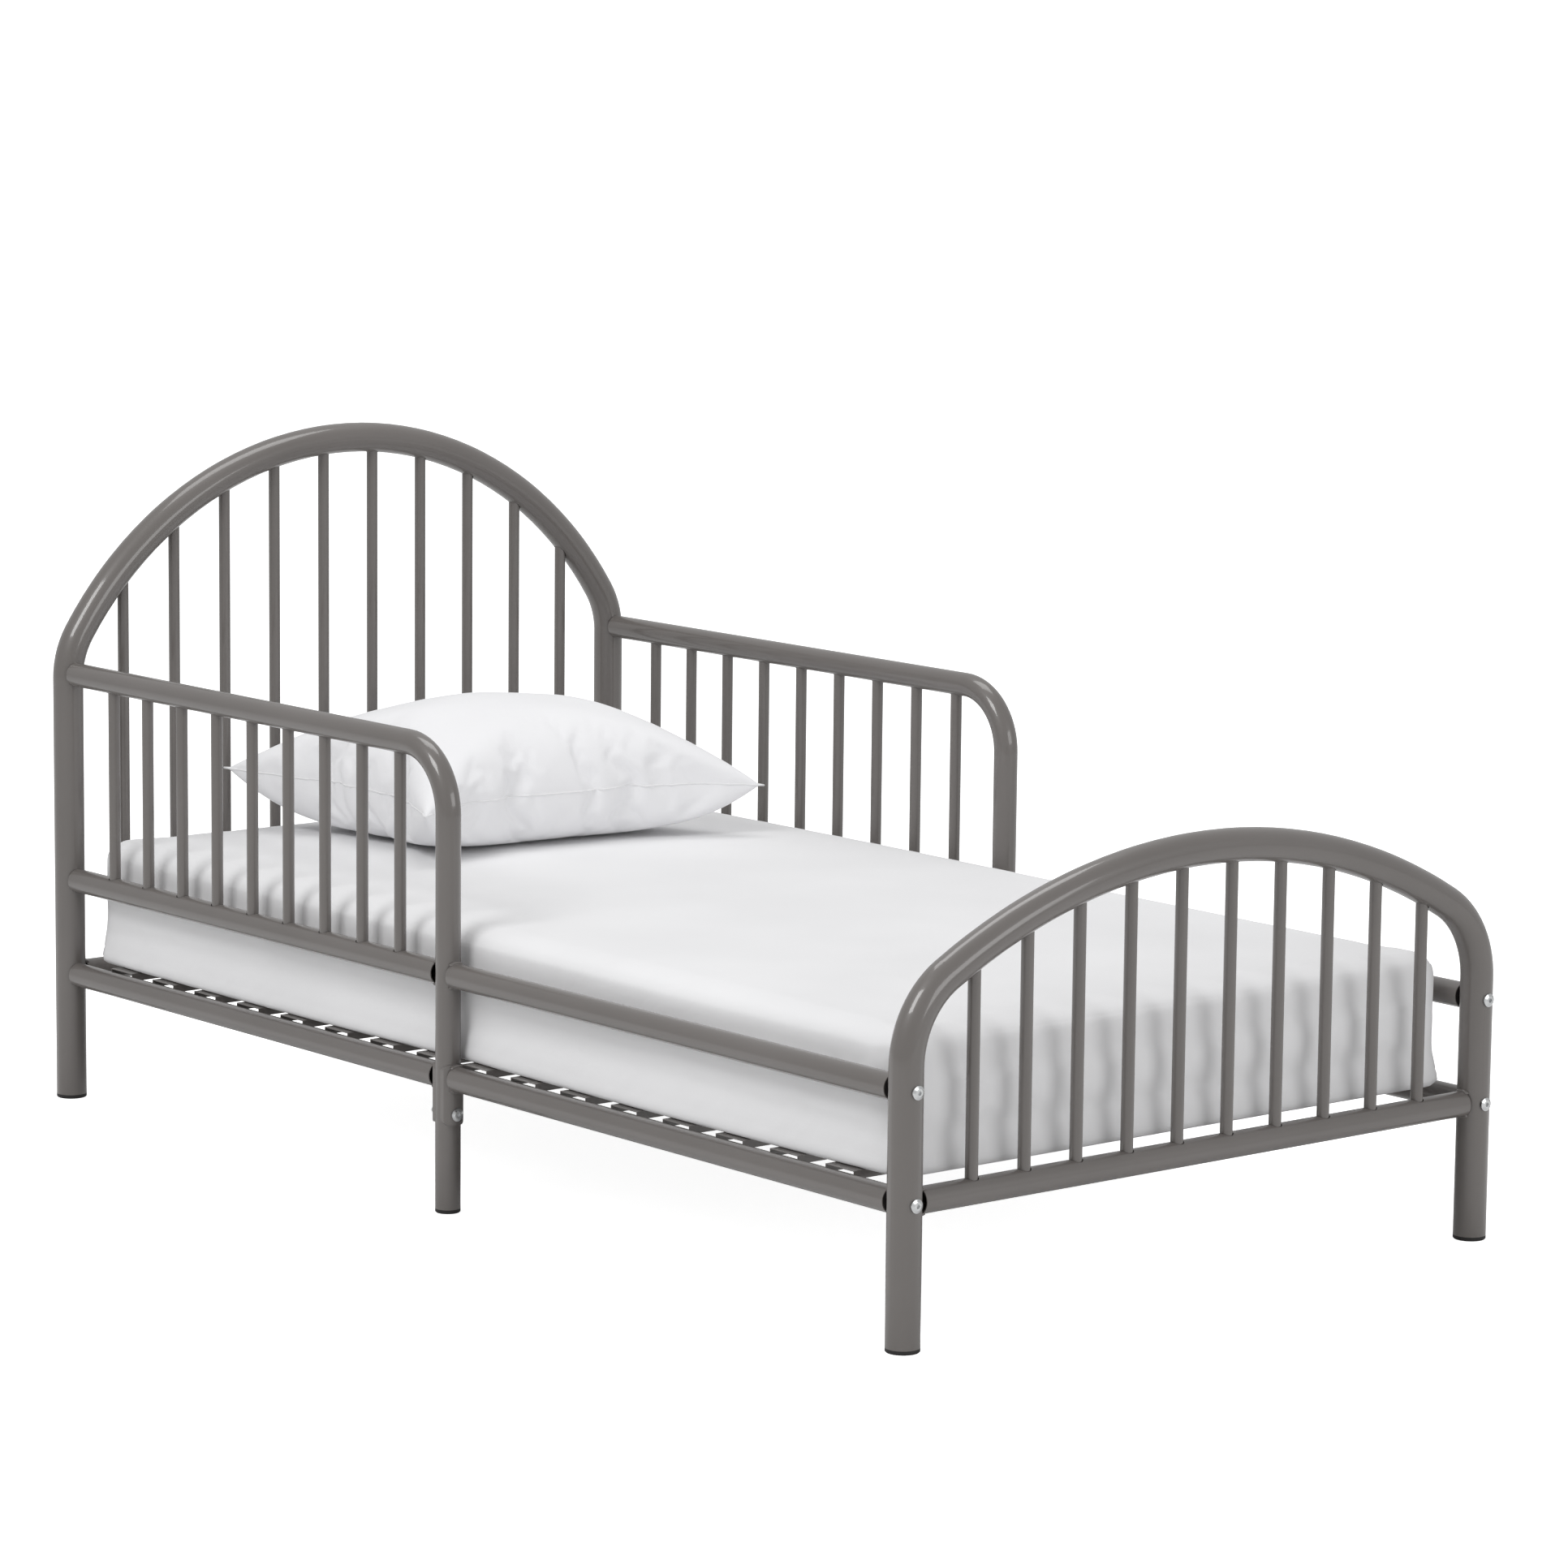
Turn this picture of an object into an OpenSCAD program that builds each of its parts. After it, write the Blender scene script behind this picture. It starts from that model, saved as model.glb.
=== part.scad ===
// Toddler bed in steel tube: an arched headboard and footboard, a guard on each
// side of the head half, two slat decks that meet at the middle legs, a mattress
// and a pillow.
// Millimetres. X runs across the bed, +Y towards the head, +Z up, floor at z = 0.

/* [Bed] */
// Width between the axes of the left and right posts
post_pitch_x = 724; // [600:1:880]
// Length between the axes of the head and foot posts
post_pitch_y = 1368; // [1140:1:1650]
// Height of the axis of the lower side rails and crossbars
lower_rail_z = 135; // [110:1:165]
// Height of the axis of the guard's lower rail and of the foot half's upper rail
upper_rail_z = 237; // [200:1:290]
// Height of the axis of the guard's top tube
guard_top_z = 458; // [380:1:560]

/* [Tube] */
// Outer diameter of the headboard and footboard hoops
hoop_d = 32; // [26:0.5:39]
// Wall of the hoops
hoop_wall = 1.2; // [0.8:0.1:2.5]
// Outer diameter of the guard tubes, rails and crossbars
rail_d = 25; // [21:0.5:30]
// Wall of the guard tubes, rails and crossbars
rail_wall = 1.0; // [0.8:0.1:2]
// Outer diameter of the spindles
spindle_d = 12; // [9:0.5:15]
// Wall of the spindles
spindle_wall = 0.8; // [0.6:0.1:1.5]

/* [Hoops] */
// Rise of the headboard's arch above the point where it would meet the post axis
head_rise = 214; // [150:1:280]
// Rise of the footboard's arch above the point where it would meet the post axis
foot_rise = 112; // [80:1:180]
// Bend radius of the shoulders, at the tube's axis
shoulder_r = 90; // [60:1:120]
// How far the guard's top tube stands above the start of the headboard's shoulder
guard_over_shoulder = 6; // [5:1:12]
// Height of the footboard's shoulder above the upper rail's axis
foot_shoulder_over_rail = 20; // [16:1:60]
// Spindles in the headboard
head_spindles = 10; // [6:1:10]
// Post axis to the first spindle axis on the headboard
head_end_space = 69.5; // [45:0.5:90]
// Spindles in the footboard
foot_spindles = 10; // [6:1:10]
// Post axis to the first spindle axis on the footboard
foot_end_space = 78.5; // [45:0.5:95]

/* [Guards] */
// Bend radius of the guard tube, at its axis
guard_bend_r = 65; // [45:1:90]
// Spindles in each guard
guard_spindles = 9; // [6:1:12]
// First spindle axis, past the end of the guard tube's bend
guard_first_space = 15; // [10:0.5:40]
// Last spindle axis to the head post's axis
guard_last_space = 89; // [40:1:120]

/* [Slats] */
// Slats in each half of the deck
slats = 8; // [6:1:8]
// Width of a slat
slat_w = 40; // [30:1:50]
// Height of a slat's folded edge
slat_h = 8; // [6:0.5:12]
// Sheet thickness of a slat
slat_wall = 0.8; // [0.6:0.1:1.5]
// Deck surface above the top of the side rails
deck_over_rail = 2.5; // [1:0.5:8]
// Middle of the bed to the first slat's axis
slat_first = 38; // [36:1:60]
// Last slat's axis to the post axis
slat_last_space = 94; // [60:1:120]
// Part of the rail's top that a slat's end covers, measured from the rail's axis
slat_end_inset = 4; // [2:0.5:8]

/* [Middle joint] */
// Thickness of the saddle plates
saddle_t = 2.5; // [1.5:0.1:4]
// How far a saddle plate reaches below the lower rail's axis
saddle_drop = 46; // [36:1:60]
// How far a saddle plate reaches above the lower rail's axis
saddle_rise = 14; // [8:1:20]
// Saddle plate's edges to the widest line of the middle leg
saddle_edge = 0.5; // [0.5:0.25:3]
// Corner radius of a saddle plate
saddle_corner_r = 6; // [2:0.5:10]
// Middle bolt below the lower rail's axis
joint_bolt_drop = 35.5; // [28:0.5:45]

/* [Fasteners] */
// Diameter of the connector bolts
bolt_d = 6; // [5:0.5:8]
// Head diameter of the connector bolts
bolt_head_d = 13; // [11:0.5:16]
// Head height of the connector bolts
bolt_head_h = 2.6; // [1.5:0.1:4]
// Hexagon socket of the connector bolts, across flats
bolt_socket = 4; // [3:0.5:5]
// Thread engagement of a bolt in its insert or nut
bolt_grip = 14; // [8:1:20]
// Outer diameter of the steel inserts in the rail ends
insert_d = 10; // [9:0.5:12]
// Length of the plastic rail plugs
plug_l = 22; // [18:1:30]
// Joint nut across flats
nut_flats = 10; // [9:0.5:13]
// Joint nut thickness
nut_t = 5; // [4:0.5:8]

/* [Leg caps] */
// Thickness of the cap's foot under the tube
cap_foot_t = 4; // [3:0.5:8]
// Length of the cap's stem in the tube
cap_stem_l = 20; // [12:1:30]
// Wall of the cap's hollow stem
cap_wall = 2.2; // [1.5:0.1:3]
// Bevel round the cap's foot
cap_bevel = 1; // [0.5:0.1:2]

/* [Bedding] */
// Thickness of the mattress
mattress_t = 130; // [100:1:155]
// Corner radius of the mattress, seen from above
mattress_corner_r = 25; // [20:1:70]
// Gap between the mattress and the side rails
mattress_side_gap = 3; // [2:0.5:15]
// Gap between the mattress and the end hoops
mattress_end_gap = 4; // [2:0.5:20]
// Width of the pillow across the bed
pillow_w = 426; // [350:1:500]
// Depth of the pillow along the bed
pillow_d = 354; // [280:1:380]
// Height of the pillow's crown above its seam
pillow_crown = 86; // [50:1:90]
// Height of the pillow's seam above the mattress
pillow_seam_z = 60; // [40:1:75]
// Pillow's middle to the head end of the mattress
pillow_from_head = 208; // [200:1:300]
// Pillow's middle to the bed's centre line
pillow_off_centre = 31; // [-60:1:60]
// Turn of the pillow seen from above
pillow_turn = -1; // [-20:1:20]

/* [Clearances] */
// Space round a spindle in its punched hole
spindle_clear = 0.8; // [0.3:0.1:1.5]
// Space round a bolt in a drilled hole
bolt_clear = 0.4; // [0.2:0.1:1]
// Space round a plug, insert or stem in its tube
fit_clear = 0.1; // [0.05:0.05:0.3]
// Space under loose bedding
rest_clear = 0.3; // [0.2:0.1:0.5]

/* [Hidden] */
$fn = 96;
eps = 0.5;

half_x = post_pitch_x / 2;
half_y = post_pitch_y / 2;
hoop_r = hoop_d / 2;
rail_r = rail_d / 2;
spindle_r = spindle_d / 2;
hoop_bore_r = hoop_r - hoop_wall;
rail_bore_r = rail_r - rail_wall;
spindle_hole_r = spindle_r + spindle_clear;
bolt_hole_r = bolt_d / 2 + bolt_clear;

head_shoulder_z = guard_top_z - guard_over_shoulder;
foot_shoulder_z = upper_rail_z + foot_shoulder_over_rail;
deck_z = lower_rail_z + rail_d / 2 + deck_over_rail;

// Square-cut ends touch the posts at their widest line.
rail_end_y = half_y - hoop_r;
crossbar_end_x = half_x - hoop_r;
joint_end_y = rail_r + saddle_t;

saddle_w = rail_d - 2 * saddle_edge;

// The spindles stand in their lower rail with their rims just over its bore.
spindle_foot = sqrt(pow(rail_bore_r, 2) - pow(spindle_r, 2)) - fit_clear;

guard_first = guard_bend_r + guard_first_space;
guard_pitch = (half_y - guard_last_space - guard_first) / (guard_spindles - 1);
head_pitch = (post_pitch_x - 2 * head_end_space) / (head_spindles - 1);
foot_pitch = (post_pitch_x - 2 * foot_end_space) / (foot_spindles - 1);
slat_pitch = (half_y - slat_last_space - slat_first) / (slats - 1);

mattress_w = post_pitch_x - rail_d - 2 * mattress_side_gap;
mattress_l = post_pitch_y - hoop_d - 2 * mattress_end_gap;
mattress_z = deck_z + rest_clear;
pillow_z = mattress_z + mattress_t + rest_clear;

head_bolt_z = [lower_rail_z, upper_rail_z, guard_top_z];
foot_bolt_z = [lower_rail_z, upper_rail_z];

paint = "#7b7874";
black = "#1c1b1a";
zinc = "silver";
white = "white";

// ---- Arch geometry, seen along the bed: post axes at x = +-half_x ----

// Angle above the horizontal at which the shoulder meets the arch, for an arch
// whose crown rises by "rise" between the post axes, to a thousandth of a degree
function arch_angle(rise) =
    let (whole_r = (half_x * half_x + rise * rise) / (2 * rise))
    round(1000 * acos((half_x - shoulder_r) / (whole_r - shoulder_r))) / 1000;

// Distance from the arch's centre to a shoulder's centre
function arch_reach(rise) = (half_x - shoulder_r) / cos(arch_angle(rise));

// Radius of the arch
function arch_r(rise) = shoulder_r + arch_reach(rise);

// Height of the arch's centre, for shoulders that start at height z
function arch_centre_z(rise, z) = z - arch_reach(rise) * sin(arch_angle(rise));

// Height of the tube's axis over the place x, on the arch or on a shoulder
function arch_z(rise, z, x) =
    abs(x) <= arch_r(rise) * cos(arch_angle(rise))
        ? arch_centre_z(rise, z) + sqrt(pow(arch_r(rise), 2) - x * x)
        : z + sqrt(pow(shoulder_r, 2) - pow(abs(x) - half_x + shoulder_r, 2));

function spindle_x(i, count, pitch) = (i - (count + 1) / 2) * pitch;

// ---- Shared shapes ----

module tube_z(r, wall, z0, z1) {
    translate([0, 0, z0])
        difference() {
            cylinder(r = r, h = z1 - z0);
            translate([0, 0, -eps]) cylinder(r = r - wall, h = z1 - z0 + 2 * eps);
        }
}

module tube_y(r, wall, y0, y1) {
    rotate([-90, 0, 0]) tube_z(r, wall, y0, y1);
}

module tube_x(r, wall, x0, x1) {
    rotate([0, 90, 0]) tube_z(r, wall, x0, x1);
}

// Moves by whole millimetres, then by millionths, then by what is left, so that
// bends that meet at a computed place meet exactly
module exactly_at(v) {
    whole = [for (c = v) round(c)];
    fine = [for (c = v - whole) round(c * 1e6) / 1e6];
    translate(whole) translate(fine) translate(v - whole - fine) children();
}

// Bent tube in the XZ plane, from angle a0 to a1 above +X
module bend_xz(bend_r, r, wall, a0, a1) {
    rotate([90, 0, 0])
        rotate_extrude(start = a0, angle = a1 - a0)
            exactly_at([bend_r, 0])
                difference() {
                    circle(r = r);
                    circle(r = r - wall);
                }
}

module rod_y(r, y0, y1) {
    translate([0, y0, 0]) rotate([-90, 0, 0]) cylinder(r = r, h = y1 - y0);
}

module both_sides() {
    for (side = [-1, 1]) translate([side * half_x, 0, 0]) children();
}

// ---- Headboard and footboard ----

// Hole through the lower wall of a bent tube, for a spindle from below
module spindle_socket(z) {
    depth = 2 * hoop_r + 2 * spindle_hole_r;
    translate([0, 0, z - depth]) cylinder(r = spindle_hole_r, h = depth);
}

module spindle_sockets(rise, shoulder_z, count, pitch) {
    for (i = [1 : count]) {
        x = spindle_x(i, count, pitch);
        translate([x, 0, 0]) spindle_socket(arch_z(rise, shoulder_z, x));
    }
}

// One bent tube: the arch, a shoulder on each side of it and two legs
module hoop_tube(rise, shoulder_z) {
    a = arch_angle(rise);
    exactly_at([0, 0, arch_centre_z(rise, shoulder_z)])
        bend_xz(arch_r(rise), hoop_r, hoop_wall, a, 180 - a, $fn = 2 * $fn);
    for (turn = [0, 180])
        rotate([0, 0, turn]) {
            translate([half_x - shoulder_r, 0, shoulder_z])
                bend_xz(shoulder_r, hoop_r, hoop_wall, 0, a);
            translate([half_x, 0, 0]) tube_z(hoop_r, hoop_wall, cap_foot_t, shoulder_z);
        }
}

module hoop(rise, shoulder_z, count, pitch, bolt_heights) {
    difference() {
        hoop_tube(rise, shoulder_z);
        spindle_sockets(rise, shoulder_z, count, pitch);
        hoop_bolt_holes(bolt_heights);
    }
}

module hoop_bolt_holes(bolt_heights) {
    for (side = [-1, 1], z = bolt_heights)
        translate([side * half_x, 0, z]) rod_y(bolt_hole_r, -hoop_d, hoop_d);
}

module crossbar(count, pitch) {
    difference() {
        tube_x(rail_r, rail_wall, -crossbar_end_x, crossbar_end_x);
        for (i = [1 : count])
            translate([spindle_x(i, count, pitch), 0, 0])
                cylinder(r = spindle_hole_r, h = rail_d);
    }
}

module board_spindle(i, count, pitch, rise, shoulder_z) {
    x = spindle_x(i, count, pitch);
    translate([x, 0, 0])
        tube_z(spindle_r, spindle_wall,
               lower_rail_z - spindle_foot, arch_z(rise, shoulder_z, x));
}

module headboard_hoop() {
    color(paint)
        translate([0, half_y, 0])
            hoop(head_rise, head_shoulder_z, head_spindles, head_pitch, head_bolt_z);
}

module headboard_crossbar() {
    color(paint)
        translate([0, half_y, lower_rail_z]) crossbar(head_spindles, head_pitch);
}

module headboard_spindle(i) {
    color(paint)
        translate([0, half_y, 0])
            board_spindle(i, head_spindles, head_pitch, head_rise, head_shoulder_z);
}

module footboard_hoop() {
    color(paint)
        translate([0, -half_y, 0])
            hoop(foot_rise, foot_shoulder_z, foot_spindles, foot_pitch, foot_bolt_z);
}

module footboard_crossbar() {
    color(paint)
        translate([0, -half_y, lower_rail_z]) crossbar(foot_spindles, foot_pitch);
}

module footboard_spindle(i) {
    color(paint)
        translate([0, -half_y, 0])
            board_spindle(i, foot_spindles, foot_pitch, foot_rise, foot_shoulder_z);
}

// ---- Guards ----

module guard_spindle_places() {
    for (i = [0 : guard_spindles - 1])
        translate([0, guard_first + i * guard_pitch, 0]) children();
}

// Middle leg, bend and top tube in one piece
module guard_tube(side) {
    bend_z = guard_top_z - guard_bend_r;
    color(paint)
        translate([side * half_x, 0, 0])
            difference() {
                union() {
                    tube_z(rail_r, rail_wall, cap_foot_t, bend_z);
                    translate([0, guard_bend_r, bend_z])
                        rotate([0, 0, 90]) bend_xz(guard_bend_r, rail_r, rail_wall, 90, 180);
                    translate([0, 0, guard_top_z])
                        tube_y(rail_r, rail_wall, guard_bend_r, rail_end_y);
                }
                guard_spindle_places()
                    translate([0, 0, guard_top_z - rail_d])
                        cylinder(r = spindle_hole_r, h = rail_d);
                translate([0, 0, lower_rail_z - joint_bolt_drop])
                    rod_y(bolt_hole_r, -rail_d, rail_d);
            }
}

module guard_lower_rail(side) {
    color(paint)
        translate([side * half_x, 0, upper_rail_z])
            difference() {
                tube_y(rail_r, rail_wall, rail_r, rail_end_y);
                guard_spindle_places() cylinder(r = spindle_hole_r, h = rail_d);
            }
}

module guard_spindle_row(side) {
    color(paint)
        translate([side * half_x, 0, 0])
            guard_spindle_places()
                tube_z(spindle_r, spindle_wall, upper_rail_z - spindle_foot, guard_top_z);
}

// ---- Side rails ----

module foot_upper_rail(side) {
    color(paint)
        translate([side * half_x, 0, upper_rail_z])
            tube_y(rail_r, rail_wall, -rail_end_y, -rail_r);
}

// "half" is 1 for the head half and -1 for the foot half
module side_rail(side, half) {
    color(paint)
        translate([side * half_x, 0, lower_rail_z])
            tube_y(rail_r, rail_wall,
                   half > 0 ? joint_end_y : -rail_end_y,
                   half > 0 ? rail_end_y : -joint_end_y);
}

// ---- Slats ----

// Folded steel channel, open below, its ends shaped to sit on the rails
module slat(i, half) {
    length = post_pitch_x - 2 * slat_end_inset;
    color(paint)
        translate([0, half * (slat_first + (i - 1) * slat_pitch), 0])
            difference() {
                translate([-length / 2, -slat_w / 2, deck_z - slat_h])
                    cube([length, slat_w, slat_h]);
                translate([-length / 2 - eps, -slat_w / 2 + slat_wall, deck_z - slat_h - eps])
                    cube([length + 2 * eps, slat_w - 2 * slat_wall, slat_h - slat_wall + eps]);
                both_sides()
                    translate([0, 0, lower_rail_z]) rod_y(rail_r, -slat_w, slat_w);
            }
}

// ---- Middle joint ----

module saddle_outline() {
    low = -saddle_drop;
    r = saddle_corner_r;
    translate([-saddle_w / 2, low + r]) square([saddle_w, saddle_drop + saddle_rise - 2 * r]);
    translate([-saddle_w / 2 + r, low]) square([saddle_w - 2 * r, saddle_drop + saddle_rise]);
    for (x = [-1, 1], z = [low + r, saddle_rise - r])
        translate([x * (saddle_w / 2 - r), z]) circle(r = r);
}

// Curved plate that hugs one face of the middle leg; "half" is its side along Y
module saddle_plate(half) {
    reach = rail_r + 2 * saddle_t;
    difference() {
        intersection() {
            translate([0, 0, -saddle_drop])
                cylinder(r = rail_r + saddle_t, h = saddle_drop + saddle_rise);
            translate([0, half > 0 ? reach : 0, 0])
                rotate([90, 0, 0]) linear_extrude(height = reach) saddle_outline();
        }
        translate([0, 0, -saddle_drop - eps])
            cylinder(r = rail_r, h = saddle_drop + saddle_rise + 2 * eps);
        translate([0, 0, -joint_bolt_drop]) rod_y(bolt_hole_r, -reach, reach);
    }
}

module saddle_plates() {
    color(paint)
        both_sides()
            translate([0, 0, lower_rail_z])
                for (half = [-1, 1]) saddle_plate(half);
}

// ---- Plugs, inserts, caps ----

// Places of the bolted rail ends, with the rail running towards -Y from each
module bolted_rail_ends() {
    both_sides() {
        for (z = head_bolt_z) translate([0, rail_end_y, z]) children();
        for (z = foot_bolt_z)
            translate([0, -rail_end_y, z]) rotate([0, 0, 180]) children();
    }
}

module rail_plugs() {
    color(black)
        bolted_rail_ends()
            difference() {
                rod_y(rail_bore_r - fit_clear, -plug_l, 0);
                rod_y(insert_d / 2, -plug_l - eps, eps);
            }
}

module threaded_inserts() {
    color(zinc)
        bolted_rail_ends()
            difference() {
                rod_y(insert_d / 2 - fit_clear, -plug_l, 0);
                rod_y(bolt_d / 2 + fit_clear, -plug_l - eps, eps);
            }
}

module leg_cap(tube_bore_r, tube_r) {
    stem_r = tube_bore_r - fit_clear;
    rotate_extrude()
        polygon([
            [0, 0],
            [tube_r - cap_bevel, 0],
            [tube_r, cap_bevel],
            [tube_r, cap_foot_t],
            [stem_r, cap_foot_t],
            [stem_r, cap_foot_t + cap_stem_l],
            [stem_r - cap_wall, cap_foot_t + cap_stem_l],
            [stem_r - cap_wall, cap_foot_t],
            [0, cap_foot_t]
        ]);
}

module leg_caps() {
    color(black)
        both_sides() {
            for (end = [-1, 1])
                translate([0, end * half_y, 0]) leg_cap(hoop_bore_r, hoop_r);
            leg_cap(rail_bore_r, rail_r);
        }
}

// ---- Bolts and nuts ----

// Connector bolt with its head's underside at y = 0 and its shank towards -Y
module connector_bolt(shank) {
    bevel = bolt_head_h / 2;
    difference() {
        union() {
            rod_y(bolt_d / 2, -shank, eps);
            rotate([-90, 0, 0])
                rotate_extrude()
                    polygon([
                        [0, 0],
                        [bolt_head_d / 2, 0],
                        [bolt_head_d / 2, bolt_head_h - bevel],
                        [bolt_head_d / 2 - 2 * bevel, bolt_head_h],
                        [0, bolt_head_h]
                    ]);
        }
        translate([0, bolt_head_h / 3, 0])
            rotate([-90, 0, 0])
                cylinder(r = bolt_socket / sqrt(3), h = bolt_head_h, $fn = 6);
    }
}

module connector_bolts() {
    color(zinc) {
        bolted_rail_ends()
            translate([0, hoop_d, 0]) connector_bolt(hoop_d + bolt_grip);
        both_sides()
            translate([0, -joint_end_y, lower_rail_z - joint_bolt_drop])
                rotate([0, 0, 180]) connector_bolt(2 * joint_end_y + nut_t);
    }
}

module joint_nuts() {
    color(zinc)
        both_sides()
            translate([0, joint_end_y, lower_rail_z - joint_bolt_drop])
                difference() {
                    rotate([-90, 0, 0]) cylinder(r = nut_flats / sqrt(3), h = nut_t, $fn = 6);
                    rod_y(bolt_d / 2 + fit_clear, -eps, nut_t + eps);
                }
}

// ---- Bedding ----

module mattress_outline() {
    r = mattress_corner_r;
    square([mattress_w - 2 * r, mattress_l], center = true);
    square([mattress_w, mattress_l - 2 * r], center = true);
    for (x = [-1, 1], y = [-1, 1])
        translate([x * (mattress_w / 2 - r), y * (mattress_l / 2 - r)]) circle(r = r);
}

module mattress() {
    color(white)
        translate([0, 0, mattress_z])
            linear_extrude(height = mattress_t) mattress_outline();
}

// Radius of the arc through a crown of height "rise" and two ends "span" apart
function crown_r(span, rise) = (pow(span / 2, 2) + rise * rise) / (2 * rise);

// Crowned lens between two arcs, "span" across X, running "run" along Y
module lens_y(span, rise, run) {
    r = crown_r(span, rise);
    intersection_for (up = [-1, 1])
        translate([0, -run / 2, up * (rise - r)])
            rotate([-90, 0, 0]) cylinder(r = r, h = run, $fn = 240);
}

module pillow() {
    height = pillow_seam_z + pillow_crown;
    color(white)
        translate([pillow_off_centre, mattress_l / 2 - pillow_from_head, pillow_z])
            rotate([0, 0, pillow_turn])
                intersection() {
                    translate([-pillow_w / 2, -pillow_d / 2, 0])
                        cube([pillow_w, pillow_d, height]);
                    translate([0, 0, pillow_seam_z]) lens_y(pillow_w, pillow_crown, pillow_d);
                    translate([0, 0, pillow_seam_z])
                        rotate([0, 0, 90]) lens_y(pillow_d, pillow_crown, pillow_w);
                }
}

headboard_hoop();
headboard_crossbar();
for (i = [1 : head_spindles])
    headboard_spindle(i);
footboard_hoop();
footboard_crossbar();
for (i = [1 : foot_spindles])
    footboard_spindle(i);
guard_tube(-1);  // guard_tube_left
guard_tube(1);  // guard_tube_right
guard_lower_rail(-1);  // guard_lower_rail_left
guard_lower_rail(1);  // guard_lower_rail_right
guard_spindle_row(-1);  // guard_spindles_left
guard_spindle_row(1);  // guard_spindles_right
foot_upper_rail(-1);  // foot_upper_rail_left
foot_upper_rail(1);  // foot_upper_rail_right
side_rail(-1, 1);  // head_side_rail_left
side_rail(1, 1);  // head_side_rail_right
side_rail(-1, -1);  // foot_side_rail_left
side_rail(1, -1);  // foot_side_rail_right
for (i = [1 : slats])
    slat(i, 1);
for (i = [1 : slats])
    slat(i, -1);
saddle_plates();
leg_caps();
rail_plugs();
threaded_inserts();
connector_bolts();
joint_nuts();
mattress();
pillow();
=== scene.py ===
"""Looks of a toddler bed in steel tube: finishes, weld beads, a mattress in its sheet and a pillow."""

import logging
import math
from dataclasses import dataclass
from enum import Enum

import bmesh
import bpy
from mathutils import Matrix, Vector, noise
from mathutils.bvhtree import BVHTree


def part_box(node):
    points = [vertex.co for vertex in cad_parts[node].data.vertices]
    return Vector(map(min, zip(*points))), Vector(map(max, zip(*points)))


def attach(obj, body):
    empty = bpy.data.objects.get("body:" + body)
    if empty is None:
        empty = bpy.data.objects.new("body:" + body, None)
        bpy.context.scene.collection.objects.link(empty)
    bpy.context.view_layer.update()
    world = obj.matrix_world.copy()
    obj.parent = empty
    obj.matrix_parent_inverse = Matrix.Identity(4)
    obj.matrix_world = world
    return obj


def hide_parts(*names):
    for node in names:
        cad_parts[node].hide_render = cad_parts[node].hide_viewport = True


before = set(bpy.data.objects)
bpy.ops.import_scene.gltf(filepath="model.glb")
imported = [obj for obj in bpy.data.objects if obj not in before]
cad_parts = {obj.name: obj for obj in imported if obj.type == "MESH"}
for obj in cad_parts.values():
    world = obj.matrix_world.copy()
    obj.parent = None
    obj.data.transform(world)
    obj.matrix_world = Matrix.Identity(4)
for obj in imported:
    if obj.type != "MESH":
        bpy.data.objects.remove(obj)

logging.basicConfig(level=logging.INFO, format="%(message)s")
log = logging.getLogger("toddler_bed")

RAMP_ENDS = (0.3, 0.7)
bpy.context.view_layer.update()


class Body(str, Enum):
    """Bodies of the model that move by themselves."""

    FRAME = "bed_frame"
    MATTRESS = "mattress"
    PILLOW = "pillow"


class Slot(str, Enum):
    """Names of the material slots."""

    COAT = "powder_coat"
    PLASTIC = "black_plastic"
    ZINC = "zinc_plate"
    SHEET = "mattress_sheet"
    CASE = "pillow_case"


class Axis(Enum):
    """Direction in which a welded tube runs."""

    ALONG_X = "x"
    ALONG_Y = "y"


# ---------------------------------------------------------------- mesh helpers


def piece_from(name: str, bm: bmesh.types.BMesh, smooth: bool = True) -> bpy.types.Object:
    """Turns a bmesh into a linked object at the origin.

    Args:
        name: Name of the piece.
        bm: The mesh, freed here.
        smooth: Whether its faces are shaded smooth.

    Returns:
        The new object.
    """
    mesh = bpy.data.meshes.new(name)
    bm.to_mesh(mesh)
    bm.free()
    for face in mesh.polygons:
        face.use_smooth = smooth
    obj = bpy.data.objects.new(name, mesh)
    bpy.context.scene.collection.objects.link(obj)
    return obj


def bake_modifiers(obj: bpy.types.Object) -> bpy.types.Object:
    """Keeps the shape that the object's modifiers give and removes them.

    Args:
        obj: The piece.

    Returns:
        The same piece with a plain mesh.
    """
    graph = bpy.context.evaluated_depsgraph_get()
    mesh = bpy.data.meshes.new_from_object(obj.evaluated_get(graph))
    old = obj.data
    obj.modifiers.clear()
    obj.data = mesh
    bpy.data.meshes.remove(old)
    mesh.name = obj.name
    for face in mesh.polygons:
        face.use_smooth = True
    return obj


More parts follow.
